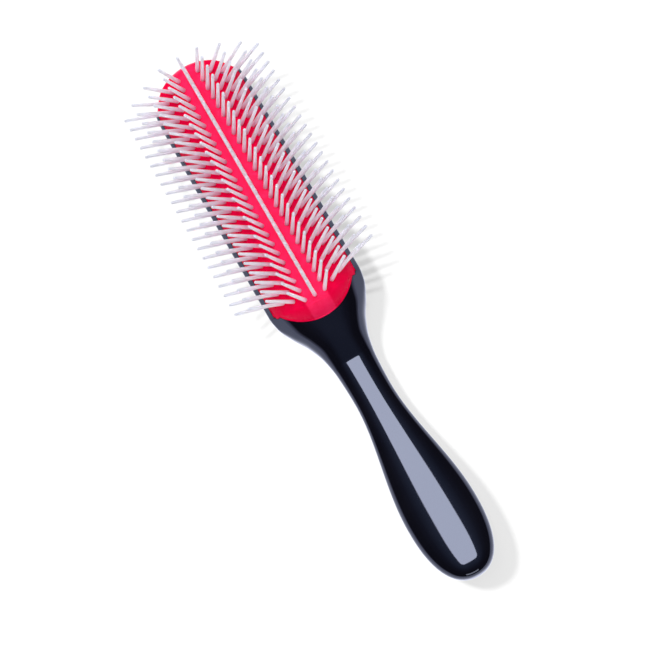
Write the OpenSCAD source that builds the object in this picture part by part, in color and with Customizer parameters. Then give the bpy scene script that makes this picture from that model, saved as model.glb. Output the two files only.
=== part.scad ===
// Classic nine-row styling brush: a one-piece handle, a half-moon rubber cushion pad that slides
// into grooves in the head from the tip, and nine strips of round-tipped pins that the pad holds.
// Lies on its back, pins up. X runs along the brush with the tip at +X, Y across it, and the
// origin is under the middle of the whole brush, on the surface that it lies on.

/* [Overall] */
// Length of the whole brush, from the end of the grip to the tip of the pad
overall_length = 226; // [218:1:236]
// Height of the pad's half-round crown above the surface that the brush lies on
crown_height = 22; // [21:0.5:24]

/* [Pins] */
// Distance between neighbouring pins of a row
pin_pitch = 4.2; // [4:0.05:4.3]
// Pins in the centre row and in each of the two rows beside it
pins_centre = 25; // [22:1:25]
// Angles from upright of the side rows, from the crown outwards
row_angles = [11.8, 24, 35.8, 46];
// How many pitches each side row starts behind the centre row
row_starts = [0, 0.5, 1, 1.5];
// How many pins fewer than the centre row each side row has
row_shortfall = [0, 1, 2, 3];
// Length of a pin above the pad
pin_length = 20.1; // [16:0.1:22]
// Diameter of a pin in the pad
pin_root_d = 1.6; // [1.2:0.1:1.7]
// Diameter of a pin's round tip
pin_tip_d = 1.1; // [0.8:0.1:1.2]
// Straight length of a pin above the pad, before it tapers
pin_collar = 1; // [0.5:0.5:3]
// Width of the backbone that joins the pins of a row
backbone_w = 1.9; // [1.8:0.1:2.1]
// Thickness of the backbone
backbone_t = 1.2; // [1:0.1:1.4]
// Length of backbone beyond the first and last pins of a row
backbone_end = 1.6; // [1.2:0.1:1.8]

/* [Cushion pad] */
// Height of the pad's edges at the lips of the head
edge_height = 12; // [11.5:0.1:12.2]
// How far the crown is cut down to the flat band along the centre row
crown_cut = 0.4; // [0.1:0.1:0.6]
// Width of the pad between the lips of the head
pad_width = 35.5; // [34:0.5:36]
// Distance from the first pin of the centre row to the pad's tip
nose_margin = 5.7; // [5.2:0.1:7]
// Plan radius of the pad's tip
nose_radius = 20.5; // [20:0.1:22]
// Rounding of the pad's tip
nose_rounding = 5; // [3:0.5:6]
// Radius of the cheeks, the blunt corners of the pad's tip
cheek_radius = 2; // [1.5:0.5:3]
// Distance from the last pin of the centre row to where the apron starts to slope
apron_margin = 2.1; // [1.5:0.1:4]
// Length of the apron's slope along the brush
apron_run = 5.3; // [4:0.1:7]
// Height of the apron's lower rim
rim_height = 15; // [14.6:0.1:15.4]
// Plan radius of the apron's lower rim
apron_radius = 18.6; // [18.4:0.1:19.4]
// Radius of the small ear at each end of the apron's rim
ear_radius = 1.2; // [1:0.1:1.4]
// Width of the pad's foot where it goes down into the groove
foot_w = 1.45; // [1.2:0.05:1.6]
// How far the foot's toe reaches under the lip
toe_reach = 0.6; // [0.4:0.05:0.7]
// Thickness of the toe
toe_t = 0.8; // [0.6:0.1:1]

/* [Handle] */
// Width of each lip of the head, beside the pad
lip_width = 1.9; // [1.6:0.05:2.4]
// Width of each lip at its tip end
lip_tip_width = 1.55; // [1.4:0.05:1.8]
// Height at which the head is widest
head_waist = 9; // [8.5:0.1:9.2]
// Height of the shoulder's ramp where it meets the apron
shoulder_height = 14.8; // [14.5:0.1:15.2]
// Height that the ramp reaches where the head has its full width
ramp_top = 18; // [17.8:0.1:18.4]
// Length of the ramp from its foot on the neck to the apron
ramp_run = 18.4; // [17:0.1:21]
// Width of the ramp near its foot
ramp_foot_w = 11.2; // [10:0.1:12]
// Width of the ramp at the apron
ramp_rim_w = 19.8; // [18:0.1:21]
// Width of each flank where the head has its full width
flank_w = 7.4; // [7:0.1:7.8]
// Steepness of the flanks beside the ramp
flank_slope = 1; // [0.95:0.01:1.05]
// Rounding between the ramp and its flanks
flank_rounding = 1.5; // [1:0.1:2]
// Lowest height of the widest line, beside the foot of the ramp
flank_foot = 3.1; // [2.8:0.1:3.6]
// Crown height of the bed under the pad
bed_height = 14.3; // [13.8:0.1:14.4]
// Radius of the bed across the brush
bed_radius = 44; // [42:1:50]
// Height of the underside of the feet's grooves
groove_floor = 9.2; // [8.9:0.1:9.3]
// Width of the neck
neck_width = 15.7; // [13:0.1:17]
// Height of the neck's top
neck_top = 8.4; // [8:0.1:9.4]
// Height of the neck's underside
neck_bottom = 0.8; // [0.4:0.1:1.4]
// Height at which the neck is widest
neck_waist = 4.2; // [3.8:0.1:4.8]
// Distance from the end of the grip to the thinnest part of the neck
neck_place = 79; // [76:1:84]
// Width of the grip
grip_width = 28.3; // [24:0.1:31]
// Thickness of the grip
grip_thickness = 15; // [13:0.5:17]
// Height at which the grip is widest
grip_waist = 9; // [7:0.5:10]
// Distance from the end of the grip to its widest part
grip_place = 27; // [24:1:30]
// Thickness of the chin, the thin front of the handle that carries the pad's tip
chin_height = 7.5; // [7:0.1:7.8]
// Length of the rubber nose in front of the rails
rail_setback = 9.7; // [9:0.1:12]
// Rubber between the bed's tongue and the tip
tongue_wall = 3.5; // [3:0.1:4.5]

/* [Fits] */
// Running gap between the pad and the handle
slide_gap = 0.15; // [0.1:0.05:0.25]
// Gap between curved faces of the pad, the backbones and the bed
bed_gap = 0.25; // [0.2:0.05:0.3]
// Clearance round a pin and its backbone in the rubber
hold_gap = 0.05; // [0.03:0.01:0.08]

/* [Hidden] */
$fn = 64;
side_rows = len(row_angles);
rows = [for (i = [1:side_rows]) i];
// Reach of the solids that are cut back to size by others
far = 60;
// How far solids run into each other where they join
lap = 1;

// Places along the brush
tip_x = overall_length / 2;
end_x = -overall_length / 2;
first_pin_x = tip_x - nose_margin;
last_pin_x = first_pin_x - (pins_centre - 1) * pin_pitch;
crease_x = last_pin_x - apron_margin;
rim_x = crease_x - apron_run;
rim_axis_x = rim_x + apron_radius;
nose_axis_x = tip_x - nose_radius;
rail_end_x = tip_x - rail_setback;
neck_x = end_x + neck_place;
grip_x = end_x + grip_place;
ramp_foot_x = rim_x - ramp_run;
// Share of the ramp's run at which the widest line is lowest
ramp_side_share = 0.3;
ramp_side_x = mix(ramp_foot_x, rim_x, ramp_side_share);
half_pad = pad_width / 2;
head_width = pad_width + 2 * lip_width;
head_tip_width = pad_width + 2 * lip_tip_width;
ear_inset = 0.5;
ear_y = half_pad - ear_radius - ear_inset;
ear_x = rim_axis_x - sqrt(pow(apron_radius, 2) - pow(ear_y, 2)) + ear_radius / 2;

// Corners of the pad's tip, and the direction from the tip's axis in which they run into its round
cheek_inset = 1;
cheek_margin = 0.4;
cheek_x = rail_end_x - cheek_inset;
cheek_y = half_pad + toe_reach + cheek_margin - cheek_radius;
cheek_turn = atan2(cheek_y, cheek_x - nose_axis_x)
    - acos((nose_radius - cheek_radius) / norm([cheek_x - nose_axis_x, cheek_y]));

// Heights, and the radius of the pad's half-round outside
pad_rise = crown_height - edge_height;
pad_radius = (pow(pad_rise, 2) + pow(half_pad, 2)) / (2 * pad_rise);
pad_axis_z = crown_height - pad_radius;
bed_axis_z = bed_height - bed_radius;
band_z = crown_height - crown_cut;
toe_floor = groove_floor + slide_gap;

// The handle's smooth lines: a curve through [place, value] points, level at its ends and
// wherever it stops rising or falling, so that it never passes a point's value
function knot(pts, x, i = 0) = (i >= len(pts) - 2 || x <= pts[i + 1][0]) ? i : knot(pts, x, i + 1);
function slope(pts, i) = (pts[i + 1][1] - pts[i][1]) / (pts[i + 1][0] - pts[i][0]);
function shared_slope(a, b) = a * b <= 0 ? 0 : 2 * a * b / (a + b);
function grade(pts, i) = (i == 0 || i == len(pts) - 1) ? 0 : shared_slope(slope(pts, i - 1), slope(pts, i));
function curve(pts, x) = let (
    i = knot(pts, x), a = pts[i], b = pts[i + 1], h = b[0] - a[0],
    t = min(max((x - a[0]) / h, 0), 1))
    a[1] * (2 * t^3 - 3 * t^2 + 1) + b[1] * (3 * t^2 - 2 * t^3)
    + h * (grade(pts, i) * (t^3 - 2 * t^2 + t) + grade(pts, i + 1) * (t^3 - t^2));
function mix(a, b, t) = a + (b - a) * t;
// Rounded end: how much of its size a section keeps at a share u of the end's length
end_share = 0.02;
function cap(u, power) = max(pow(max(1 - pow(min(max(u, 0), 1), power), 0), 1 / power), end_share);

// The head has its full width from here on
flare_past_crease = 6.5;
flare_end_x = crease_x + flare_past_crease;
head_mid_x = mix(flare_end_x, tip_x, 0.5);
// Squareness of the head's tip, which follows the rubber nose
tip_power = 3.8;
// Length and squareness of the back's upward bow at the tip
bow_length = 35;
bow_power = 2;
// Squareness of the grip's rounded end, seen from above and from the side
end_power = 2.4;
end_side_power = 3.8;
// Shares of the run from the neck to the head, and of the widening that is done there
flare = [[0, 0], [0.274, 0.039], [0.459, 0.152], [0.618, 0.38], [0.752, 0.691], [0.887, 0.938], [1, 1]];
// How much wider the ramp's line is at the neck, where the flanks fade out
ramp_fade = 0.6;
// Height of the widest line at the apron
rim_waist = 5.5;
// Roundings of the ramp at its foot and at its top
foot_rounding = 0.35;
top_rounding = 1.5;

half_width = concat(
    [[grip_x, grip_width / 2]],
    [for (f = flare) [mix(neck_x, flare_end_x, f[0]), mix(neck_width, head_width, f[1]) / 2]],
    [[head_mid_x, head_width / 2], [rail_end_x, head_tip_width / 2]]);
top_line = [[grip_x, grip_thickness], [neck_x, neck_top]];
under_line = [[grip_x, 0], [neck_x, neck_bottom], [rim_x, 0], [flare_end_x, 0]];
waist_line = [[grip_x, grip_waist], [neck_x, neck_waist], [ramp_side_x, flank_foot],
    [rim_x, rim_waist], [flare_end_x, head_waist]];
// Half the width of the ramp; on the grip it is wider than the grip, so that there are no flanks
ramp_line = [[grip_x, grip_width / 2 + flank_rounding], [neck_x, ramp_foot_w / 2 + ramp_fade],
    [ramp_side_x, ramp_foot_w / 2], [rim_x, ramp_rim_w / 2], [flare_end_x, head_width / 2 - flank_w]];
// Squareness of the sections above and below their widest line
top_power = [[end_x, 2.7], [grip_x, 2.4], [neck_x, 2.65], [rim_x, 2.8], [flare_end_x, 3]];
under_power = [[grip_x, 2.15], [neck_x, 2.1], [rim_x, 2.3], [flare_end_x, 2.3]];

// One section of the handle, as points round it. The top is an arch cut down by the two flanks.
ring_sides = 40;
function side(v, power) = sign(v) * pow(abs(v), 2 / power);
function smooth_min(a, b, r) = min(a, b) - pow(max(r - abs(a - b), 0), 2) / (4 * r);
function smooth_max(a, b, r) = -smooth_min(-a, -b, r);
// The straight ramp that rises out of the neck's top and levels off beside the pad
function ramp_height(x) = smooth_min(mix(neck_top, shoulder_height, (x - ramp_foot_x) / ramp_run),
    ramp_top, top_rounding);
function ring(x) = let (
    end = (grip_x - x) / grip_place,
    end_side = cap(end, end_side_power),
    w = curve(half_width, x) * cap(end, end_power) * cap((x - nose_axis_x) / nose_radius, tip_power),
    waist = curve(waist_line, x),
    top = smooth_max(curve(top_line, x), ramp_height(x), foot_rounding),
    up = (top - waist) * end_side,
    bow = cap((x - tip_x + bow_length) / bow_length, bow_power),
    down = (waist - curve(under_line, x)) * end_side * bow,
    ramp = curve(ramp_line, x),
    pt = curve(top_power, x), pu = curve(under_power, x))
    [for (k = [0:ring_sides - 1]) let (
        a = 360 * k / ring_sides, c = cos(a), s = sin(a),
        y = w * side(c, s >= 0 ? pt : pu),
        arch = waist + up * side(s, pt), flank = top - (abs(y) - ramp) * flank_slope)
        [x, y, s >= 0 ? max(smooth_min(arch, flank, flank_rounding), waist) : waist + down * side(s, pu)]];

// Places of the sections: close together in the rounded ends and the flare, far apart in the head
cap_steps = 12;
grip_steps = 16;
flare_steps = 20;
head_steps = 8;
bow_steps = 16;
ring_places = concat(
    [for (k = [cap_steps:-1:1]) grip_x - grip_place * pow(sin(90 * k / cap_steps), 2 / end_power)],
    [for (k = [0:grip_steps - 1]) mix(grip_x, neck_x, k / grip_steps)],
    [for (k = [0:flare_steps - 1]) mix(neck_x, flare_end_x, k / flare_steps)],
    [for (k = [0:head_steps - 1]) mix(flare_end_x, tip_x - bow_length, k / head_steps)],
    [for (k = [0:bow_steps]) tip_x - bow_length * (1 - sin(90 * k / bow_steps))]);

module loft(places) {
    n = len(places);
    m = ring_sides;
    points = [for (x = places) each ring(x)];
    walls = [for (i = [0:n - 2], k = [0:m - 1]) let (a = i * m + k, b = i * m + (k + 1) % m)
        [a, b, b + m, a + m]];
    polyhedron(points, concat([[for (k = [m - 1:-1:0]) k]], walls,
        [[for (k = [0:m - 1]) (n - 1) * m + k]]), convexity = 6);
}

// A bar along the brush between two places
module bar(x0, x1, y0, y1, z0, z1) translate([x0, y0, z0]) cube([x1 - x0, y1 - y0, z1 - z0]);
module along(x0, x1, r, z) translate([x0, 0, z]) rotate([0, 90, 0]) cylinder(r = r, h = x1 - x0);
module both_sides() { children(); mirror([0, 1, 0]) children(); }

// The crowned bed under the pad, grown by a gap
module bed(gap) along(-far, tip_x + far, bed_radius + gap, bed_axis_z);

// The bed's tongue, which reaches into the rubber nose
tongue_half = half_pad - foot_w - tongue_wall;
module tongue(gap) intersection() {
    bed(gap);
    translate([nose_axis_x, 0, 0]) cylinder(r = nose_radius - tongue_wall + gap, h = far);
    bar(0, tip_x, -tongue_half - gap, tongue_half + gap, 0, far);
}

// Plan of the pad from its rim to past the tip, grown by a gap
module pad_plan(gap) {
    translate([rim_axis_x, 0, 0]) cylinder(r = apron_radius + gap, h = far);
    both_sides() translate([ear_x, ear_y, 0]) cylinder(r = ear_radius + gap, h = far);
    bar(ear_x, tip_x + far, -ear_y - ear_radius - gap, ear_y + ear_radius + gap, 0, far);
    bar(rim_axis_x, tip_x + far, -far, far, 0, far);
}

// Both feet of the pad, grown by a gap: a leg down into the groove and a toe under the lip
module feet(gap, x1) both_sides() intersection() {
    union() {
        bar(0, x1, half_pad - foot_w - gap, half_pad + gap, toe_floor - gap, bed_height);
        bar(0, x1, half_pad - foot_w, half_pad + toe_reach + gap, toe_floor - gap, toe_floor + toe_t + gap);
    }
    pad_plan(gap);
}

// How far from the pad's axis the bed lies at an angle from upright
function bed_reach(a) = let (d = pad_axis_z - bed_axis_z)
    -d * cos(a) + sqrt(pow(bed_radius, 2) - pow(d * sin(a), 2));
// The centre row, number 0, stands once; each other row stands on both sides
function sides(i) = i == 0 ? [1] : [-1, 1];
function row_start(i) = i == 0 ? 0 : row_starts[i - 1];
function row_pins(i) = pins_centre - (i == 0 ? 0 : row_shortfall[i - 1]);
function row_angle(i) = i == 0 ? 0 : row_angles[i - 1];
function row_front(i) = first_pin_x - row_start(i) * pin_pitch;
function row_back(i) = row_front(i) - (row_pins(i) - 1) * pin_pitch;
// How much narrower than its round tip a pin is just below it
tip_step = 0.03;
// The backbone lies half in the bed and half in the pad
function backbone_floor(i) = bed_reach(row_angle(i)) - backbone_t / 2;

// Turns a row from upright about the pad's axis, to the left for side 1
module lean(i, side) translate([0, 0, pad_axis_z]) rotate([-side * row_angle(i), 0, 0]) children();

module backbone(i, gap, x1)
    bar(row_back(i) - backbone_end - gap, x1, -backbone_w / 2 - gap, backbone_w / 2 + gap,
        backbone_floor(i) - gap, backbone_floor(i) + backbone_t + gap);

// Room that the pad and its strips take in the head, open at the tip
module pad_space() {
    difference() {
        intersection() {
            bar(-far, tip_x + far, -half_pad - slide_gap, half_pad + slide_gap, 0, far);
            pad_plan(slide_gap);
        }
        bed(0);
    }
    feet(slide_gap, tip_x + far);
    difference() {
        bar(rail_end_x, tip_x + far, -far, far, chin_height, far);
        tongue(0);
    }
    for (i = [0:side_rows], s = sides(i))
        lean(i, s) backbone(i, bed_gap, tip_x + far);
}

// Plan of the tip: a round front between two cheeks
module tip_plan(h) {
    toward = [cos(cheek_turn), sin(cheek_turn)];
    translate([nose_axis_x, 0, 0]) cylinder(r = nose_radius, h = h);
    both_sides() {
        translate([cheek_x, cheek_y, 0]) cylinder(r = cheek_radius, h = h);
        linear_extrude(h) polygon([[nose_axis_x, 0], [nose_axis_x, 0] + nose_radius * toward,
            [cheek_x, cheek_y] + cheek_radius * toward, [cheek_x, cheek_y]]);
    }
}

module handle() color([0.03, 0.03, 0.04]) difference() {
    intersection() {
        loft(ring_places);
        union() {
            bar(-far - tip_x, rail_end_x, -far, far, -lap, far);
            translate([0, 0, -lap]) tip_plan(far);
        }
    }
    pad_space();
}

// Tip of the pad: the round front has a rounded upper edge
module nose() {
    translate([nose_axis_x, 0, 0]) rotate_extrude() {
        square([nose_radius, band_z - nose_rounding]);
        square([nose_radius - nose_rounding, band_z]);
        translate([nose_radius - nose_rounding, band_z - nose_rounding]) circle(r = nose_rounding);
    }
    tip_plan(band_z - nose_rounding);
}

module pad_body() intersection() {
    along(rim_x - lap, tip_x, pad_radius, pad_axis_z);
    pad_plan(0);
    union() {
        bar(rim_axis_x - lap, nose_axis_x, -far, far, 0, band_z);
        translate([rim_axis_x, 0, 0]) cylinder(r = apron_radius + ear_radius, h = rim_height);
        translate([rim_axis_x, 0, rim_height])
            cylinder(r1 = apron_radius, r2 = apron_radius - apron_run, h = band_z - rim_height);
        nose();
    }
    union() {
        difference() {
            bar(rim_x - lap, rail_end_x + lap, -half_pad, half_pad, 0, far);
            bed(bed_gap);
        }
        feet(0, rail_end_x + lap);
        difference() {
            bar(rail_end_x + slide_gap, tip_x, -far, far, chin_height + slide_gap, far);
            tongue(bed_gap);
        }
    }
}

module pin_hole() cylinder(d = pin_root_d + 2 * hold_gap, h = far);

module cushion_pad() color([0.9, 0.0, 0.22]) difference() {
    pad_body();
    for (i = [0:side_rows], s = sides(i)) lean(i, s) {
        backbone(i, hold_gap, row_front(i) + backbone_end + hold_gap);
        for (k = [0:row_pins(i) - 1])
            translate([row_front(i) - k * pin_pitch, 0, backbone_floor(i) + backbone_t / 2]) pin_hole();
    }
}

module pin(i) {
    root = backbone_floor(i) + backbone_t / 3;
    collar = pad_radius + pin_collar;
    tip = pad_radius + pin_length - pin_tip_d / 2;
    rotate_extrude() polygon([[0, root], [pin_root_d / 2, root], [pin_root_d / 2, collar],
        [(pin_tip_d - tip_step) / 2, tip], [0, tip]]);
    translate([0, 0, tip]) sphere(d = pin_tip_d);
}

// One strip: a backbone with its pins standing on it
module pin_row(i, side) color([0.87, 0.83, 0.9]) lean(i, side) {
    backbone(i, 0, row_front(i) + backbone_end);
    for (k = [0:row_pins(i) - 1]) translate([row_front(i) - k * pin_pitch, 0, 0]) pin(i);
}

handle();
cushion_pad();
pin_row(0, 1);  // pin_row_centre
for (i = rows) pin_row(i, 1);
for (i = rows) pin_row(i, -1);
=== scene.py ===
"""A nine-row styling brush on a pale floor.

It has a black handle, a red rubber pad and strips of white nylon pins.
"""
from math import acos, atan2, cos, hypot, pi, radians, sin, sqrt, tan

import bmesh
import bpy
import numpy as np
from mathutils import Matrix, Vector


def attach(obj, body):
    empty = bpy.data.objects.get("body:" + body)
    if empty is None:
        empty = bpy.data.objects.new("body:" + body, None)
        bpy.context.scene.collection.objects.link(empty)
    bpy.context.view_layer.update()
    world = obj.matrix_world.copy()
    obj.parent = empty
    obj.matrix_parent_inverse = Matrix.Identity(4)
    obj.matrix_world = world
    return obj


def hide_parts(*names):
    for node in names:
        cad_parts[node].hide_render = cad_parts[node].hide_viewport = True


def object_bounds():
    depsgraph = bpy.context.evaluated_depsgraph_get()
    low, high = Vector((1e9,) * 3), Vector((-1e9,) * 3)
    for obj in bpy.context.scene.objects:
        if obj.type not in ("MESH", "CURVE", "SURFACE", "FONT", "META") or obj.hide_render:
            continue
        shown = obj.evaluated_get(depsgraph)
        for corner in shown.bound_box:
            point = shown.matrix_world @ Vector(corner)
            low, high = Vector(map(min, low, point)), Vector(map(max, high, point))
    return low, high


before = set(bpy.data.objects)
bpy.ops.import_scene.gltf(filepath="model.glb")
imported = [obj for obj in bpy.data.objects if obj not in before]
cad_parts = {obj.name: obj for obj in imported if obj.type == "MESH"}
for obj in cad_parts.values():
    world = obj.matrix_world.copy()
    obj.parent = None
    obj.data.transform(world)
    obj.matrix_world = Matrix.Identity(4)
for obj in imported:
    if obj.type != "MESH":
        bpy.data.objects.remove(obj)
cad_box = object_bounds()
scene = bpy.context.scene


def mix(a, b, t):
    return a + (b - a) * t


# ---------------------------------------------------------------- sizes, in millimetres
MM = 0.001
TIP_X = cad_box[1].x / MM
END_X = cad_box[0].x / MM

PITCH = 4.2
ROWS = [(0.0, 0.0, 25), (11.8, 0.0, 25), (24.0, 0.5, 24), (35.8, 1.0, 23), (46.0, 1.5, 22)]
PIN_REACH, PIN_R, PIN_TIP_R, COLLAR = 20.1, 0.8, 0.55, 1.0
BACK_W, BACK_T, BACK_END = 1.9, 1.2, 1.6
FIRST_PIN_X = TIP_X - 5.7
LAST_PIN_X = FIRST_PIN_X - 24 * PITCH

HALF_PAD, CROWN_Z, EDGE_Z, BAND_Z = 17.75, 22.0, 12.0, 21.6
PAD_R = ((CROWN_Z - EDGE_Z) ** 2 + HALF_PAD**2) / (2 * (CROWN_Z - EDGE_Z))
PAD_AXIS_Z = CROWN_Z - PAD_R
NOSE_R, NOSE_ROUND = 20.5, 5.0
NOSE_X = TIP_X - NOSE_R
RAIL_END_X = TIP_X - 9.7
CREASE_X = LAST_PIN_X - 2.1
APRON_RUN, APRON_R, APRON_Z = 5.3, 18.6, 15.0
APRON_BULGE, LEDGE, NOSE_EDGE = 1.35, 0.5, 0.6
RIM_X = CREASE_X - APRON_RUN
RIM_AXIS_X = RIM_X + APRON_R
EAR_R = 1.2
EAR_Y = HALF_PAD - EAR_R - 0.5
EAR_X = RIM_AXIS_X - sqrt(APRON_R**2 - EAR_Y**2) + EAR_R / 2
FOOT_W, TOE, TOE_T, GROOVE_Z = 1.45, 0.6, 0.8, 9.2
CHEEK_R = 2.0
CHEEK_X, CHEEK_Y = RAIL_END_X - 1.0, HALF_PAD + TOE + 0.4 - CHEEK_R
CHEEK_TURN = (atan2(CHEEK_Y, CHEEK_X - NOSE_X)
              - acos((NOSE_R - CHEEK_R) / hypot(CHEEK_X - NOSE_X, CHEEK_Y)))

BED_R, BED_Z = 44.0, 14.3
BED_AXIS_Z = BED_Z - BED_R
TONGUE_WALL = 3.5
TONGUE_HALF = HALF_PAD - FOOT_W - TONGUE_WALL
CHIN_Z = 7.5
SLIDE_GAP, BED_GAP, HOLD_GAP = 0.15, 0.25, 0.05

GRIP_PLACE, NECK_PLACE = 27.0, 79.0
GRIP_X, NECK_X = END_X + GRIP_PLACE, END_X + NECK_PLACE
FLARE_END_X = CREASE_X + 6.5
GRIP_W, NECK_W, HEAD_W, RAIL_HALF = 28.3, 15.7, 39.3, 19.3
GRIP_T, NECK_TOP, SHOULDER_Z, RAMP_TOP_Z = 15.0, 8.4, 14.8, 18.0
RAMP_RUN, RAMP_SIDE_SHARE = 18.4, 0.3
RAMP_FOOT_X = RIM_X - RAMP_RUN
RAMP_SIDE_X = mix(RAMP_FOOT_X, RIM_X, RAMP_SIDE_SHARE)
FLANK_ROUNDING, FOOT_ROUNDING = 1.5, 0.35
END_POWER, END_SIDE_POWER, TIP_POWER, BOW_POWER = 2.4, 3.8, 3.8, 2
BOW = 35.0


def curve(*points):
    """A smooth line through (place, value) points, level at its ends and wherever it turns round."""
    px = np.array([p[0] for p in points], float)
    v = np.array([p[1] for p in points], float)
    g = np.zeros(len(v))
    slope = np.diff(v) / np.diff(px)
    for i in range(1, len(v) - 1):
        if slope[i] * slope[i - 1] > 0:
            g[i] = 2 * slope[i] * slope[i - 1] / (slope[i] + slope[i - 1])

    def at(x):
        x = np.clip(x, px[0], px[-1])
        i = np.clip(np.searchsorted(px, x, side="right") - 1, 0, len(px) - 2)
        h = px[i + 1] - px[i]
        t = (x - px[i]) / h
        return (v[i] * (2 * t**3 - 3 * t**2 + 1) + v[i + 1] * (3 * t**2 - 2 * t**3)
                + h * (g[i] * (t**3 - 2 * t**2 + t) + g[i + 1] * (t**3 - t**2)))

    return at


def smooth_min(a, b, r):
    return np.minimum(a, b) - np.maximum(r - np.abs(a - b), 0) ** 2 / (4 * r)


def smooth_max(a, b, r):
    return -smooth_min(-a, -b, r)


def rounded(u, power, least=0.004):
    """How much of its size a section keeps at a share u of a rounded end."""
    return max((1 - min(max(u, 0.0), 1.0) ** power) ** (1 / power), least)


# ---------------------------------------------------------------- meshes
def piece(name, points, faces):
    mesh = bpy.data.meshes.new(name)
    mesh.from_pydata((np.asarray(points, float) * MM).tolist(), [], faces)
    work = bmesh.new()
    work.from_mesh(mesh)
    bmesh.ops.recalc_face_normals(work, faces=work.faces)
    work.to_mesh(mesh)
    work.free()
    obj = bpy.data.objects.new(name, mesh)
    scene.collection.objects.link(obj)
    return obj


def loft_faces(n, m, start=0):
    """Faces of a closed tube through n rings of m points, with both ends shut."""
    walls = [[start + i * m + k, start + i * m + (k + 1) % m,
              start + (i + 1) * m + (k + 1) % m, start + (i + 1) * m + k]
             for i in range(n - 1) for k in range(m)]
    last = start + (n - 1) * m
    return walls + [list(range(start, start + m))[::-1], list(range(last, last + m))]


def loft(name, rings):
    rings = np.asarray(rings, float)
    n, m = rings.shape[:2]
    return piece(name, rings.reshape(-1, 3), loft_faces(n, m))


def block(name, x, y, z):
    return loft(name, [[(a, y[0], z[0]), (a, y[1], z[0]), (a, y[1], z[1]), (a, y[0], z[1])]
                       for a in x])


def across(name, ys, x_from, x_to, z_from, z_to):
    """A solid made of upright slices, one for each y."""
    return loft(name, [[(x_from(y), y, z_from(y)), (x_to(y), y, z_from(y)), (x_to(y), y, z_to(y)),
                        (x_from(y), y, z_to(y))] for y in ys])


def carve(body, tool, how="DIFFERENCE"):
    step = body.modifiers.new("carve", "BOOLEAN")
    step.operation, step.object, step.solver = how, tool, "MANIFOLD"
    bpy.context.view_layer.update()
    graph = bpy.context.evaluated_depsgraph_get()
    shape = bpy.data.meshes.new_from_object(body.evaluated_get(graph))
    body.modifiers.clear()
    body.data = shape
    bpy.data.objects.remove(tool)


def finish_surface(obj, material, body, nodes, angle=28):
    obj.data.shade_smooth()
    obj.data.set_sharp_from_angle(angle=radians(angle))
    obj.data.materials.clear()
    obj.data.materials.append(material)
    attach(obj, body)
    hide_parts(*nodes)


# ---------------------------------------------------------------- materials
def new_material(name):
    mat = bpy.data.materials.new(name)
    mat.use_nodes = True
    nodes, links = mat.node_tree.nodes, mat.node_tree.links
    return mat, nodes, links, nodes["Principled BSDF"]


def noise(nodes, links, scale, detail=2.0, stretch=None):
    """A noise pattern fixed to the object, with its size in features per metre."""
    place = nodes.new("ShaderNodeTexCoord")
    out = place.outputs["Object"]
    if stretch:
        fit = nodes.new("ShaderNodeMapping")
        fit.inputs["Scale"].default_value = stretch
        links.new(out, fit.inputs["Vector"])
        out = fit.outputs["Vector"]
    tex = nodes.new("ShaderNodeTexNoise")
    tex.inputs["Scale"].default_value = scale
    tex.inputs["Detail"].default_value = detail
    links.new(out, tex.inputs["Vector"])
    return tex.outputs["Fac"]


def math_node(nodes, links, operation, *values):
    node = nodes.new("ShaderNodeMath")
    node.operation = operation
    for socket, value in zip(node.inputs, values):
        if isinstance(value, (int, float)):
            socket.default_value = value
        else:
            links.new(value, socket)
    return node.outputs[0]


def ramp(nodes, links, source, low, high, at=(0.35, 0.65)):
    node = nodes.new("ShaderNodeValToRGB")
    node.color_ramp.elements[0].position, node.color_ramp.elements[1].position = at
    node.color_ramp.elements[0].color = (*low, 1)
    node.color_ramp.elements[1].color = (*high, 1)
    links.new(source, node.inputs["Fac"])
    return node.outputs["Color"]


def stops(nodes, links, source, *points):
    """Colours at places from 0 to 1, blended between them."""
    node = nodes.new("ShaderNodeValToRGB")
    elements = node.color_ramp.elements
    while len(elements) < len(points):
        elements.new(0.5)
    for element, (place, colour) in zip(elements, points):
        element.position = place
        element.color = (*colour, 1)
    links.new(source, node.inputs["Fac"])
    return node.outputs["Color"]


def blend(nodes, links, how, factor, first, second):
    node = nodes.new("ShaderNodeMix")
    node.data_type, node.blend_type = "RGBA", how
    for name, value in (("Factor", factor), ("A", first), ("B", second)):
        if isinstance(value, (int, float)):
            node.inputs[name].default_value = value
        else:
            links.new(value, node.inputs[name])
    return node.outputs["Result"]


def from_pad_axis(nodes, links):
    """Where a point of the object lies across the brush, and how far it is from the pad's axis."""
    place, parts = nodes.new("ShaderNodeTexCoord"), nodes.new("ShaderNodeSeparateXYZ")
    links.new(place.outputs["Object"], parts.inputs[0])
    y = parts.outputs["Y"]
    up = math_node(nodes, links, "SUBTRACT", parts.outputs["Z"], PAD_AXIS_Z * MM)
    square = [math_node(nodes, links, "MULTIPLY", v, v) for v in (y, up)]
    return y, math_node(nodes, links, "SQRT", math_node(nodes, links, "ADD", *square))


def spread(nodes, links, source, low, high, at=(0.3, 0.7)):
    node = nodes.new("ShaderNodeMapRange")
    node.inputs["From Min"].default_value, node.inputs["From Max"].default_value = at
    node.inputs["To Min"].default_value, node.inputs["To Max"].default_value = low, high
    links.new(source, node.inputs["Value"])
    return node.outputs["Result"]


def bump(nodes, links, source, strength, depth, before=None):
    node = nodes.new("ShaderNodeBump")
    node.inputs["Strength"].default_value = strength
    node.inputs["Distance"].default_value = depth
    links.new(source, node.inputs["Height"])
    if before:
        links.new(before, node.inputs["Normal"])
    return node.outputs["Normal"]


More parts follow.
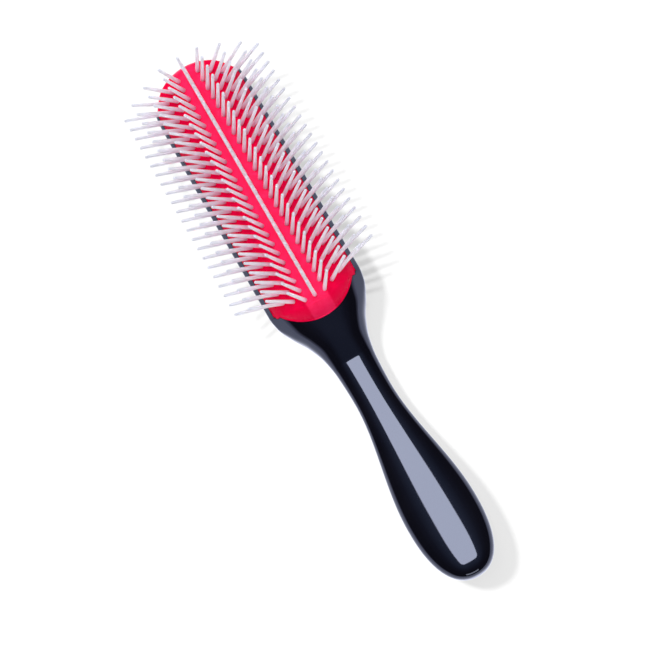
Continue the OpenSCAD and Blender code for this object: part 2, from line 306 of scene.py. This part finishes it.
def black_plastic():
    mat, nodes, links, shader = new_material("glossy_black_plastic")
    shader.inputs["IOR"].default_value = 1.5
    shader.inputs["Specular IOR Level"].default_value = 0.62
    shader.inputs["Specular Tint"].default_value = (0.70, 0.76, 1.0, 1)
    cloud = noise(nodes, links, 60)
    black = ramp(nodes, links, cloud, (0.0032, 0.0032, 0.0056), (0.0044, 0.0044, 0.0074))
    links.new(black, shader.inputs["Base Color"])
    scratches = noise(nodes, links, 900, 3, (0.12, 1, 1))
    links.new(spread(nodes, links, scratches, 0.03, 0.06), shader.inputs["Roughness"])
    flow = bump(nodes, links, noise(nodes, links, 45, 1), 0.05, 0.0003)
    grain = noise(nodes, links, 1500, 2)
    links.new(bump(nodes, links, grain, 0.03, 0.00003, flow), shader.inputs["Normal"])
    return mat


def red_rubber():
    mat, nodes, links, shader = new_material("soft_red_rubber")
    shader.inputs["IOR"].default_value = 1.5
    shader.inputs["Specular IOR Level"].default_value = 0.05
    shader.inputs["Specular Tint"].default_value = (0.6, 0.6, 1.0, 1)
    shader.inputs["Subsurface Weight"].default_value = 0.12
    shader.inputs["Subsurface Radius"].default_value = (1.0, 0.12, 0.2)
    shader.inputs["Subsurface Scale"].default_value = 0.0012
    # The flat crown band gets a paler, brighter red than the sides: this is painted light and sheen
    # from above, laid over the rubber's own red.
    y, _ = from_pad_axis(nodes, links)
    aside = math_node(nodes, links, "ABSOLUTE", y)
    band = spread(nodes, links, aside, 1.0, 0.0, (0.0043, 0.0050))
    sides = ramp(nodes, links, noise(nodes, links, 120, 3),
                 (0.84, 0.0005, 0.048), (0.90, 0.001, 0.056))
    crown = ramp(nodes, links, noise(nodes, links, 300, 3),
                 (0.95, 0.012, 0.088), (0.98, 0.020, 0.112))
    links.new(blend(nodes, links, "MIX", band, sides, crown), shader.inputs["Base Color"])
    satin = noise(nodes, links, 350, 2)
    links.new(spread(nodes, links, satin, 0.24, 0.32), shader.inputs["Roughness"])
    waves = bump(nodes, links, noise(nodes, links, 160, 1), 0.12, 0.0003)
    grain = noise(nodes, links, 2600, 3)
    links.new(bump(nodes, links, grain, 0.15, 0.00004, waves), shader.inputs["Normal"])
    return mat


def clear_nylon():
    mat, nodes, links, shader = new_material("milky_nylon")
    shader.inputs["IOR"].default_value = 1.52
    shader.inputs["Specular IOR Level"].default_value = 0.06
    shader.inputs["Transmission Weight"].default_value = 0.30
    shader.inputs["Subsurface Weight"].default_value = 0.8
    shader.inputs["Subsurface Radius"].default_value = (1.0, 1.0, 1.0)
    shader.inputs["Subsurface Scale"].default_value = 0.003
    # Colour by distance from the pad's axis: the pink near each root is painted red light from the pad,
    # and the darker end at the tip is painted shade; between them is the nylon's own pale lavender.
    _, reach = from_pad_axis(nodes, links)
    share = spread(nodes, links, reach, 0.0, 1.0, (PAD_R * MM, (PAD_R + PIN_REACH) * MM))
    along = stops(nodes, links, share, (0.0, (1.0, 0.42, 0.60)), (0.10, (0.96, 0.62, 0.80)),
                  (0.25, (0.92, 0.80, 0.92)), (0.80, (0.86, 0.88, 0.97)), (1.0, (0.60, 0.62, 0.72)))
    mottle = ramp(nodes, links, noise(nodes, links, 200, 2), (0.95, 0.95, 0.96), (1, 1, 1))
    links.new(blend(nodes, links, "MULTIPLY", 1.0, along, mottle), shader.inputs["Base Color"])
    haze = noise(nodes, links, 700, 2, (1, 1, 0.3))
    links.new(spread(nodes, links, haze, 0.28, 0.42), shader.inputs["Roughness"])
    grain = noise(nodes, links, 1800, 2)
    links.new(bump(nodes, links, grain, 0.08, 0.00003), shader.inputs["Normal"])
    return mat


# ---------------------------------------------------------------- the handle
flare = [(0, 0), (0.274, 0.039), (0.459, 0.152), (0.618, 0.38), (0.752, 0.691), (0.887, 0.938), (1, 1)]
half_width = curve(
    (GRIP_X, GRIP_W / 2),
    *[(mix(NECK_X, FLARE_END_X, a), mix(NECK_W, HEAD_W, b) / 2) for a, b in flare],
    (mix(FLARE_END_X, TIP_X, 0.5), HEAD_W / 2), (RAIL_END_X, RAIL_HALF))
top_line = curve((GRIP_X, GRIP_T), (NECK_X, NECK_TOP))
under_line = curve((GRIP_X, 0), (NECK_X, 0.8), (RIM_X, 0), (FLARE_END_X, 0))
waist_line = curve(
    (GRIP_X, 9.0), (NECK_X, 4.2), (RAMP_SIDE_X, 3.1), (RIM_X, 5.5), (FLARE_END_X, 9.0))
ramp_line = curve(
    (GRIP_X, 15.65), (NECK_X, 6.2), (RAMP_SIDE_X, 5.6), (RIM_X, 9.9), (FLARE_END_X, 12.25))
top_power = curve(
    (END_X, 2.7), (GRIP_X, 2.4), (NECK_X, 2.65), (RIM_X, 2.8), (FLARE_END_X, 3.0))
# How much the flanks swell, and the width over which that evens out
flank_bulge = curve((RIM_X, 0.03), (FLARE_END_X, 0))
FLANK_SPAN = 5
under_power = curve((GRIP_X, 2.15), (NECK_X, 2.1), (RIM_X, 2.3), (FLARE_END_X, 2.3))


def tip_half(x):
    """Half the width of the tip's plan at x: a round front between two cheeks."""
    if x < CHEEK_X + CHEEK_R * cos(CHEEK_TURN):
        return CHEEK_Y + sqrt(CHEEK_R**2 - max(x - CHEEK_X, 0) ** 2)
    if x < NOSE_X + NOSE_R * cos(CHEEK_TURN):
        return (NOSE_R - (x - NOSE_X) * cos(CHEEK_TURN)) / sin(CHEEK_TURN)
    return sqrt(max(NOSE_R**2 - (x - NOSE_X) ** 2, 0))


def tip_end(y):
    """Where the tip's plan ends at y."""
    y = abs(y)
    if y > CHEEK_Y + CHEEK_R * sin(CHEEK_TURN):
        return CHEEK_X + sqrt(CHEEK_R**2 - (y - CHEEK_Y) ** 2)
    if y > NOSE_R * sin(CHEEK_TURN):
        return NOSE_X + (NOSE_R - y * sin(CHEEK_TURN)) / cos(CHEEK_TURN)
    return NOSE_X + sqrt(NOSE_R**2 - y**2)


def handle_ring(x, half=88):
    """One section: an arch cut down by two flanks above the widest line, a flatter arch below."""
    end = (GRIP_X - x) / GRIP_PLACE
    end_side = rounded(end, END_SIDE_POWER)
    bow = rounded((x - TIP_X + BOW) / BOW, BOW_POWER)
    w = half_width(x) * rounded(end, END_POWER) * rounded((x - NOSE_X) / NOSE_R, TIP_POWER)
    ramp_z = mix(NECK_TOP, SHOULDER_Z, (x - RAMP_FOOT_X) / RAMP_RUN)
    rise = smooth_min(ramp_z, RAMP_TOP_Z, FLANK_ROUNDING)
    waist, top = waist_line(x), smooth_max(top_line(x), rise, FOOT_ROUNDING)
    up = (top - waist) * end_side
    down = (waist - under_line(x)) * end_side * bow
    c = np.cos(np.linspace(0, pi, half + 1))
    y = w * c
    pt, pu = top_power(x), under_power(x)
    arch = waist + up * (1 - np.abs(c) ** pt) ** (1 / pt)
    off, bulge = np.abs(y) - ramp_line(x), flank_bulge(x)
    flank = top - (1 - FLANK_SPAN * bulge) * off - bulge * np.maximum(off, 0) ** 2
    upper = np.maximum(smooth_min(arch, flank, FLANK_ROUNDING), waist)
    lower = waist - down * (1 - np.abs(c) ** pu) ** (1 / pu)
    if x > RAIL_END_X:
        y = np.clip(y, -tip_half(x), tip_half(x))
    ys = np.concatenate([y, y[::-1][1:-1]])
    return np.stack([np.full_like(ys, x), ys, np.concatenate([upper, lower[::-1][1:-1]])], 1)


def bed_z(y, gap=0.0):
    return BED_AXIS_Z + sqrt((BED_R + gap) ** 2 - y**2)


def rim(y, gap=0.0):
    """Where the pad's plan begins at y: the apron's arc with a small ear at each end."""
    y = abs(y)
    x = RIM_AXIS_X - sqrt(max((APRON_R + gap) ** 2 - y**2, 0))
    reach = EAR_R + gap
    if abs(y - EAR_Y) < reach:
        x = min(x, EAR_X - sqrt(reach**2 - (y - EAR_Y) ** 2))
    return x


def plan_lines(gap, half):
    """Values of y that catch the arc, the ears and the sides."""
    ear = EAR_Y + (EAR_R + gap) * np.sin(np.linspace(-pi / 2, pi / 2, 17))
    side = np.concatenate([np.linspace(0, EAR_Y - EAR_R - gap, 50)[:-1], ear, [ear[-1] + 0.002],
                           np.linspace(ear[-1] + 0.06, half, 5)])
    return np.concatenate([-side[:0:-1], side])


def bed_reach(angle):
    d = PAD_AXIS_Z - BED_AXIS_Z
    return -d * cos(angle) + sqrt(BED_R**2 - (d * sin(angle)) ** 2)


def lean(points, angle, side):
    """Turns points from upright about the pad's axis, towards +Y for side 1."""
    p = np.array(points, float)
    a = radians(angle) * side
    y, z = p[..., 1].copy(), p[..., 2].copy()
    p[..., 1] = y * cos(a) + z * sin(a)
    p[..., 2] = -y * sin(a) + z * cos(a) + PAD_AXIS_Z
    return p


def row_front(start):
    return FIRST_PIN_X - start * PITCH


def backbone(angle, start, count, side, gap, x_to):
    floor = bed_reach(radians(angle)) - BACK_T / 2
    x0 = row_front(start) - (count - 1) * PITCH - BACK_END - gap
    w, z0, z1 = BACK_W / 2 + gap, floor - gap, floor + BACK_T + gap
    return lean([[(x, -w, z0), (x, w, z0), (x, w, z1), (x, -w, z1)] for x in (x0, x_to)], angle, side)


def every_row():
    for number, (angle, start, count) in enumerate(ROWS):
        for side in (1, -1) if number else (1,):
            yield number, side, angle, start, count


def tongue(gap, x_from):
    half = TONGUE_HALF + gap
    reach = NOSE_R - TONGUE_WALL + gap
    return across("tongue", np.linspace(-half, half, 41), lambda y: x_from,
                  lambda y: NOSE_X + sqrt(reach**2 - y**2), lambda y: 0.0, lambda y: bed_z(y, gap))


def make_handle(material):
    places = np.concatenate([
        GRIP_X - GRIP_PLACE * np.sin(np.linspace(pi / 2, 0, 49)[:-1]) ** (2 / END_POWER),
        np.linspace(GRIP_X, NECK_X, 61)[:-1],
        np.linspace(NECK_X, FLARE_END_X, 111)[:-1],
        np.linspace(FLARE_END_X, TIP_X - BOW, 41)[:-1],
        TIP_X - BOW * (1 - np.sin(np.linspace(0, pi / 2, 97)))])
    steps = [RAIL_END_X - 0.01, RAIL_END_X + 0.01, TIP_X - 0.02]
    places = np.sort(np.concatenate([places, steps]))
    handle = loft("handle_shell", [handle_ring(x) for x in places])
    far = TIP_X + 20
    half = HALF_PAD + SLIDE_GAP
    carve(handle, across("pad_room", plan_lines(SLIDE_GAP, half),
                         lambda y: rim(y, SLIDE_GAP), lambda y: far, bed_z, lambda y: 40.0))
    for s in (-1, 1):
        inner = s * (HALF_PAD - FOOT_W)
        carve(handle, block("groove", (EAR_X, far), sorted((inner - s * SLIDE_GAP, s * half)),
                            (GROOVE_Z, BED_Z)))
        carve(handle, block("toe_room", (RIM_AXIS_X - 6.0, far), sorted((inner, s * (half + TOE))),
                            (GROOVE_Z, GROOVE_Z + TOE_T + 2 * SLIDE_GAP)))
    front = block("front_room", (RAIL_END_X, far), (-60, 60), (CHIN_Z, 60))
    carve(front, tongue(0, RAIL_END_X - 5))
    carve(handle, front)
    for _, side, angle, start, count in every_row():
        carve(handle, loft("slot", backbone(angle, start, count, side, BED_GAP, far)))
    finish_surface(handle, material, "handle", ["handle"])
    return handle


# ---------------------------------------------------------------- the rubber pad
def pad_top(x, y):
    """Height of the pad's outside: a half-round with a flat crown band, an apron and a nose."""
    arch = PAD_AXIS_Z + np.sqrt(np.maximum(PAD_R**2 - y**2, 0))
    z = smooth_min(arch, BAND_Z, 0.07)
    back, off = np.maximum(RIM_AXIS_X - x, 0), np.abs(y)
    circle = np.hypot(back, off)
    turn = radians(36)
    facets = smooth_max(back, back * cos(turn) + off * sin(turn), 0.25)
    facets = smooth_max(facets, back * cos(2 * turn) + off * sin(2 * turn), 0.25)
    near = mix(circle, facets, np.clip((APRON_R - circle) / 3.0, 0, 1) * (circle < APRON_R))
    slope = (APRON_R - LEDGE - near) / (APRON_RUN - LEDGE)
    bulge = ((1 - (1 - np.clip(slope, 0, 1)) ** APRON_BULGE) ** (1 / APRON_BULGE)
             + np.maximum(slope - 1, 0))
    z = smooth_min(z, APRON_Z + bulge * (BAND_Z - APRON_Z), 0.5)
    band = np.clip((4.6 - off) / 0.8, 0, 1)
    z = z - 0.2 * band * np.exp(-(((x - CREASE_X - 0.25) / 0.16) ** 2))
    nose = np.hypot(np.maximum(x - NOSE_X, 0), off)
    over = np.maximum(nose - NOSE_R + NOSE_ROUND, 0)
    cap = BAND_Z - NOSE_ROUND + np.sqrt(np.maximum(NOSE_ROUND**2 - over**2, 0))
    z = smooth_min(z, cap, 0.9)
    depth = np.maximum(NOSE_R - nose, CHEEK_R - np.hypot(np.maximum(x - CHEEK_X, 0), off - CHEEK_Y))
    ahead, aside = x - NOSE_X, off
    along = aside * cos(CHEEK_TURN) - ahead * sin(CHEEK_TURN)
    reach = CHEEK_Y * cos(CHEEK_TURN) - (CHEEK_X - NOSE_X) * sin(CHEEK_TURN)
    flat = NOSE_R - ahead * cos(CHEEK_TURN) - aside * sin(CHEEK_TURN)
    depth = np.where((along > 0) & (along < reach), np.maximum(depth, flat), depth)
    edge = NOSE_EDGE - np.clip(depth, 0, NOSE_EDGE)
    return z - np.where(x > NOSE_X, NOSE_EDGE - np.sqrt(NOSE_EDGE**2 - edge**2), 0)


def pad_lines():
    band = sqrt(PAD_R**2 - (BAND_Z - PAD_AXIS_Z) ** 2)
    side = np.concatenate([np.linspace(0, band - 0.45, 8)[:-1], band + np.linspace(-0.45, 0.45, 7),
                           np.linspace(band + 0.9, EAR_Y - EAR_R, 26)[:-1],
                           EAR_Y + EAR_R * np.sin(np.linspace(-pi / 2, pi / 2, 15)),
                           [EAR_Y + EAR_R + 0.002],
                           np.linspace(EAR_Y + EAR_R + 0.08, 18.36, 10)])
    return np.concatenate([-side[:0:-1], side])


def pad_slice(y):
    """One lengthwise slice of the pad's blank, with close lines at its rim, crease and nose."""
    x0 = rim(min(abs(y), HALF_PAD))
    x1 = tip_end(y)
    edge = np.array([0, 0.03, 0.08, 0.15, 0.22, 0.3, 0.5, 0.9, 1.5, 2.3])
    x_a = max(CREASE_X - 0.9, x0 + 3.5)
    x_b = NOSE_X + 1.0
    front = x0 + edge * (x_a - x0) / 3.2
    middle = np.concatenate([x_a + np.linspace(0, 2.2, 20), np.linspace(x_a + 2.6, x_b, 200)])
    nose = x_b + (x1 - x_b) * np.sin(np.linspace(0, pi / 2, 40))[1:]
    xs = np.concatenate([front, middle, nose])
    z = pad_top(xs, y)
    lip = np.clip(0.3 - (xs - x0), 0, 0.3)
    z = z - (0.3 - np.sqrt(0.09 - lip**2))
    top = np.stack([xs, np.full_like(xs, y), z], 1)
    return np.concatenate([top, [(x1, y, CHIN_Z + SLIDE_GAP), (x0, y, CHIN_Z + SLIDE_GAP)]])


def lathe(profile, places, sides):
    """One closed turned solid at each place; the profile is (radius, height), foot to top."""
    points, faces = [], []
    a = np.linspace(0, 2 * pi, sides, endpoint=False)
    for x in places:
        start = len(points)
        for r, z in profile:
            points += [(x + r * cos(t), r * sin(t), z) for t in a]
        faces += loft_faces(len(profile), sides, start)
    return points, faces


def pin_places(start, count):
    return [row_front(start) - k * PITCH for k in range(count)]


def make_pad(material):
    pad = loft("rubber_pad", [pad_slice(y) for y in pad_lines()])
    rail = RAIL_END_X + SLIDE_GAP
    carve(pad, across("bed_room", np.linspace(-25, 25, 91), lambda y: RIM_X - 10, lambda y: rail,
                      lambda y: -5.0, lambda y: bed_z(y, BED_GAP)))
    for s in (-1, 1):
        carve(pad, block("side_room", (RIM_X - 10, rail), sorted((s * HALF_PAD, s * 30)), (-5, 40)))
    carve(pad, tongue(BED_GAP, rail - 5))
    for s in (-1, 1):
        inner = s * (HALF_PAD - FOOT_W)
        floor = GROOVE_Z + SLIDE_GAP
        foot = block("foot", (EAR_X + 0.4, rail + 1), sorted((inner, s * (HALF_PAD - 0.02))),
                     (floor, BED_Z - 1.9))
        toe = block("toe", (RIM_AXIS_X - 5.5, rail + 0.9),
                    sorted((inner + s * 0.01, s * (HALF_PAD + TOE))), (floor + 0.01, floor + TOE_T))
        carve(pad, foot, "UNION")
        carve(pad, toe, "UNION")
    for _, side, angle, start, count in every_row():
        x_to = row_front(start) + BACK_END + HOLD_GAP
        carve(pad, loft("slot", backbone(angle, start, count, side, HOLD_GAP, x_to)))
    points, faces = [], []
    for number, side, angle, start, count in every_row():
        root = bed_reach(radians(angle))
        top = (BAND_Z - PAD_AXIS_Z) if number == 0 else PAD_R
        hole = [(PIN_R + HOLD_GAP, root), (PIN_R + HOLD_GAP, top - 0.3), (PIN_R + 0.32, top + 0.02),
                (PIN_R + 0.32, top + 3)]
        p, f = lathe(hole, pin_places(start, count), 20)
        faces += [[i + len(points) for i in face] for face in f]
        points += lean(p, angle, side).tolist()
    carve(pad, piece("pin_holes", points, faces))
    finish_surface(pad, material, "pad", ["cushion_pad"])
    return pad


# ---------------------------------------------------------------- the strips of pins
def make_strip(number, side, angle, start, count, material):
    floor = bed_reach(radians(angle)) - BACK_T / 2
    collar, tip = PAD_R + COLLAR, PAD_R + PIN_REACH - PIN_TIP_R
    profile = [(PIN_R, z) for z in (floor + BACK_T / 3, floor + BACK_T + 0.2, PAD_R - 0.4, collar)]
    profile += [(mix(PIN_R, PIN_TIP_R, t), mix(collar, tip, t)) for t in np.linspace(0, 1, 8)[1:]]
    profile += [(PIN_TIP_R * cos(t), tip + PIN_TIP_R * sin(t))
                for t in np.linspace(0, radians(86), 7)[1:]]
    points, faces = lathe(profile, pin_places(start, count), 16)
    points = lean(points, angle, side).tolist()
    spine = backbone(angle, start, count, side, 0, row_front(start) + BACK_END).reshape(-1, 3)
    faces += loft_faces(2, 4, len(points))
    points += spine.tolist()
    where = f"{'left' if side > 0 else 'right'}_{number}" if number else "centre"
    strip = piece(f"pin_strip_{where}", points, faces)
    finish_surface(strip, material, "pad", [f"pin_row_{where}"], 40)
    return strip


shell = make_handle(black_plastic())
pad = make_pad(red_rubber())
nylon = clear_nylon()
strips = [make_strip(*row, nylon) for row in every_row()]


# ---------------------------------------------------------------- floor, world, lamps and camera
def seen_directly(nodes, links):
    """1 for camera, glossy and transmission rays, 0 for the light that the surface throws on others."""
    path = nodes.new("ShaderNodeLightPath")
    kinds = ("Camera", "Glossy", "Transmission")
    direct, gloss, through = (path.outputs[f"Is {kind} Ray"] for kind in kinds)
    seen = math_node(nodes, links, "MAXIMUM", direct, gloss)
    return math_node(nodes, links, "MAXIMUM", seen, through)


def make_floor():
    """A white floor that shows its shadow; it is clear from below, to show the brush's back."""
    mesh = bpy.data.meshes.new("floor")
    size = 3.0
    corners = [(-size, -size, 0), (size, -size, 0), (size, size, 0), (-size, size, 0)]
    mesh.from_pydata(corners, [], [(0, 1, 2, 3)])
    floor = bpy.data.objects.new("floor", mesh)
    floor.location.z = -0.0001
    scene.collection.objects.link(floor)
    mat = bpy.data.materials.new("pale_floor")
    mat.use_nodes = True
    nodes, links = mat.node_tree.nodes, mat.node_tree.links
    nodes.clear()
    out = nodes.new("ShaderNodeOutputMaterial")
    one_sided, surface = nodes.new("ShaderNodeMixShader"), nodes.new("ShaderNodeAddShader")
    glow, shade = nodes.new("ShaderNodeEmission"), nodes.new("ShaderNodeBsdfDiffuse")
    tone = nodes.new("ShaderNodeMix")
    path = nodes.new("ShaderNodeLightPath")
    tone.data_type = "RGBA"
    tone.inputs["A"].default_value = (1, 1, 1, 1)
    tone.inputs["B"].default_value = (1.75, 1.85, 2.4, 1)
    links.new(path.outputs["Is Glossy Ray"], tone.inputs["Factor"])
    links.new(tone.outputs["Result"], glow.inputs["Color"])
    strength = math_node(nodes, links, "MULTIPLY", seen_directly(nodes, links), FLOOR_GLOW)
    links.new(strength, glow.inputs["Strength"])
    shade.inputs["Color"].default_value = (FLOOR_SHADE, FLOOR_SHADE, FLOOR_SHADE, 1)
    links.new(glow.outputs[0], surface.inputs[0])
    links.new(shade.outputs[0], surface.inputs[1])
    links.new(nodes.new("ShaderNodeNewGeometry").outputs["Backfacing"], one_sided.inputs[0])
    links.new(surface.outputs[0], one_sided.inputs[1])
    links.new(nodes.new("ShaderNodeBsdfTransparent").outputs[0], one_sided.inputs[2])
    links.new(one_sided.outputs[0], out.inputs["Surface"])
    mesh.materials.append(mat)
    return floor


def make_world():
    """White to the camera, an even fill on the object, and a dark studio with a window in gloss."""
    world = bpy.data.worlds.new("studio")
    scene.world = world
    world.use_nodes = True
    nodes, links = world.node_tree.nodes, world.node_tree.links
    nodes.clear()
    out = nodes.new("ShaderNodeOutputWorld")
    fill, room, white = (nodes.new("ShaderNodeBackground") for _ in range(3))
    glossy, choose = nodes.new("ShaderNodeMixShader"), nodes.new("ShaderNodeMixShader")
    path = nodes.new("ShaderNodeLightPath")
    place = nodes.new("ShaderNodeTexCoord")
    split = nodes.new("ShaderNodeSeparateXYZ")
    links.new(place.outputs["Generated"], split.inputs[0])
    x, y, z = split.outputs
    up = math_node(nodes, links, "MAXIMUM", z, 0.01)
    beside = math_node(nodes, links, "DIVIDE", math_node(nodes, links, "ABSOLUTE", y), up)
    ahead = math_node(nodes, links, "DIVIDE", x, up)
    ahead = math_node(nodes, links, "SUBTRACT", ahead, (NEAR_END + FAR_END) / 2)
    ahead = math_node(nodes, links, "ABSOLUTE", ahead)
    out_x = math_node(nodes, links, "SUBTRACT", ahead, (FAR_END - NEAR_END) / 2 - CORNER)
    out_y = math_node(nodes, links, "SUBTRACT", beside, ACROSS - CORNER)
    square = [math_node(nodes, links, "POWER", math_node(nodes, links, "MAXIMUM", v, 0.0), 2.0)
              for v in (out_x, out_y)]
    radius = math_node(nodes, links, "SQRT", math_node(nodes, links, "ADD", *square))
    off = math_node(nodes, links, "SUBTRACT", radius, CORNER)
    halo = stops(nodes, links, off, (0.0, (0.28, 0.36, 0.52)), (0.18, (0.14, 0.18, 0.28)),
                 (0.38, (0.05, 0.06, 0.11)), (0.8, (0.015, 0.015, 0.03)))
    low = spread(nodes, links, z, 1.0, 0.0, (0.0, 0.2))
    aside = spread(nodes, links, math_node(nodes, links, "ABSOLUTE", y), 0.0, 1.0, (0.78, 0.92))
    corner = math_node(nodes, links, "MULTIPLY", low, aside)
    sides = stops(nodes, links, corner, (0.0, (0, 0, 0)), (1.0, (1.3, 1.3, 1.65)))
    window = spread(nodes, links, off, WINDOW_GLOW, 0.0, (-0.006, 0.010))
    total = halo
    for part in (sides, window):
        both = nodes.new("ShaderNodeVectorMath")
        both.operation = "ADD"
        links.new(total, both.inputs[0])
        links.new(part, both.inputs[1])
        total = both.outputs[0]
    links.new(total, room.inputs["Color"])
    fill.inputs["Color"].default_value = (FILL, FILL, FILL, 1)
    white.inputs["Color"].default_value = (1, 1, 1, 1)
    links.new(path.outputs["Is Glossy Ray"], glossy.inputs[0])
    links.new(fill.outputs[0], glossy.inputs[1])
    links.new(room.outputs[0], glossy.inputs[2])
    links.new(path.outputs["Is Camera Ray"], choose.inputs[0])
    links.new(glossy.outputs[0], choose.inputs[1])
    links.new(white.outputs[0], choose.inputs[2])
    links.new(choose.outputs[0], out.inputs["Surface"])


def aim(obj, target, up=(0, 0, 1)):
    back = (obj.location - Vector(target)).normalized()
    right = Vector(up).cross(back).normalized()
    obj.rotation_mode = "QUATERNION"
    obj.rotation_quaternion = Matrix((right, back.cross(right), back)).transposed().to_quaternion()


def lamp(name, place, target, size, radiance, up=(0, 1, 0)):
    """A flat lamp with a given radiance, so its reflection is as strong at any distance."""
    data = bpy.data.lights.new(name, "AREA")
    data.shape = "RECTANGLE"
    data.size, data.size_y = size
    data.energy = radiance * pi * (size[0] * size[1])
    obj = bpy.data.objects.new(name, data)
    obj.location = place
    scene.collection.objects.link(obj)
    aim(obj, target, up)
    return obj


def collection_of(name, *parts):
    group = bpy.data.collections.new(name)
    for obj in parts:
        group.objects.link(obj)
    return group


def sun(name, turn, height, width, level, receivers, blockers=None):
    """A far lamp for some objects only, with the level that it gives a level surface."""
    data = bpy.data.lights.new(name, "SUN")
    data.angle = radians(width)
    data.energy = level * pi / sin(radians(height))
    obj = bpy.data.objects.new(name, data)
    flat = cos(radians(height))
    obj.location = (3 * flat * cos(radians(turn)), 3 * flat * sin(radians(turn)),
                    3 * sin(radians(height)))
    obj.visible_glossy = False
    scene.collection.objects.link(obj)
    aim(obj, (0, 0, 0), (0, 0, 1) if height < 89 else (0, 1, 0))
    obj.light_linking.receiver_collection = receivers
    if blockers:
        obj.light_linking.blocker_collection = blockers
    return obj


FLOOR_GLOW, FLOOR_SHADE = 0.56, 0.08
FILL, WINDOW_GLOW = 0.55, 9.3
# The window's reach across, behind and ahead, and its corners, as shares of its height
ACROSS, NEAR_END, FAR_END, CORNER = tan(radians(10)), tan(radians(-13)), tan(radians(40)), 0.08
floor = make_floor()
make_world()

SOFTBOX_Z, SHADOW_TURN = 6.0, 42.2
middle = SOFTBOX_Z * (NEAR_END + FAR_END) / 2
softbox = lamp("softbox", (middle, 0, SOFTBOX_Z), (middle, 0, 0),
               (SOFTBOX_Z * (FAR_END - NEAR_END), 2 * SOFTBOX_Z * ACROSS), 6.5)
softbox.visible_glossy = False
card = lamp("end_card", (-4.46, 0.79, 2.11), (0, 0, 0), (2.3, 1.2), 3.5, up=(0, 0, 1))
softbox.visible_camera = card.visible_camera = False

lit_floor, lit_pins = collection_of("lit_floor", floor), collection_of("lit_pins", *strips)
body_shadow = collection_of("body_shadow", shell, pad)
softbox.light_linking.receiver_collection = collection_of("lit_body", shell, pad, floor)
card.light_linking.receiver_collection = collection_of("lit_object", shell, pad)
sun("shadow_lamp_body", SHADOW_TURN, 51, 10, 3.1, lit_floor, body_shadow)
sun("shadow_lamp_pins", SHADOW_TURN, 76, 3.2, 2.0, lit_floor, lit_pins)
sun("pin_fill", 0, 90, 170, 1.1, lit_pins)

CAMERA_PLACE, CAMERA_TARGET = (-0.2303, -0.00484, 0.84405), (-0.003145, 0.002503, 0.012)
CAMERA_LENS, CAMERA_TURN = 127.386, radians(-29.25)
camera = bpy.data.objects.new("camera", bpy.data.cameras.new("camera"))
scene.collection.objects.link(camera)
camera.location = CAMERA_PLACE
camera.data.lens = CAMERA_LENS
camera.data.clip_start, camera.data.clip_end = 0.05, 60
aim(camera, CAMERA_TARGET, (cos(CAMERA_TURN), sin(CAMERA_TURN), 0))
scene.camera = camera
scene.view_settings.view_transform = "Standard"
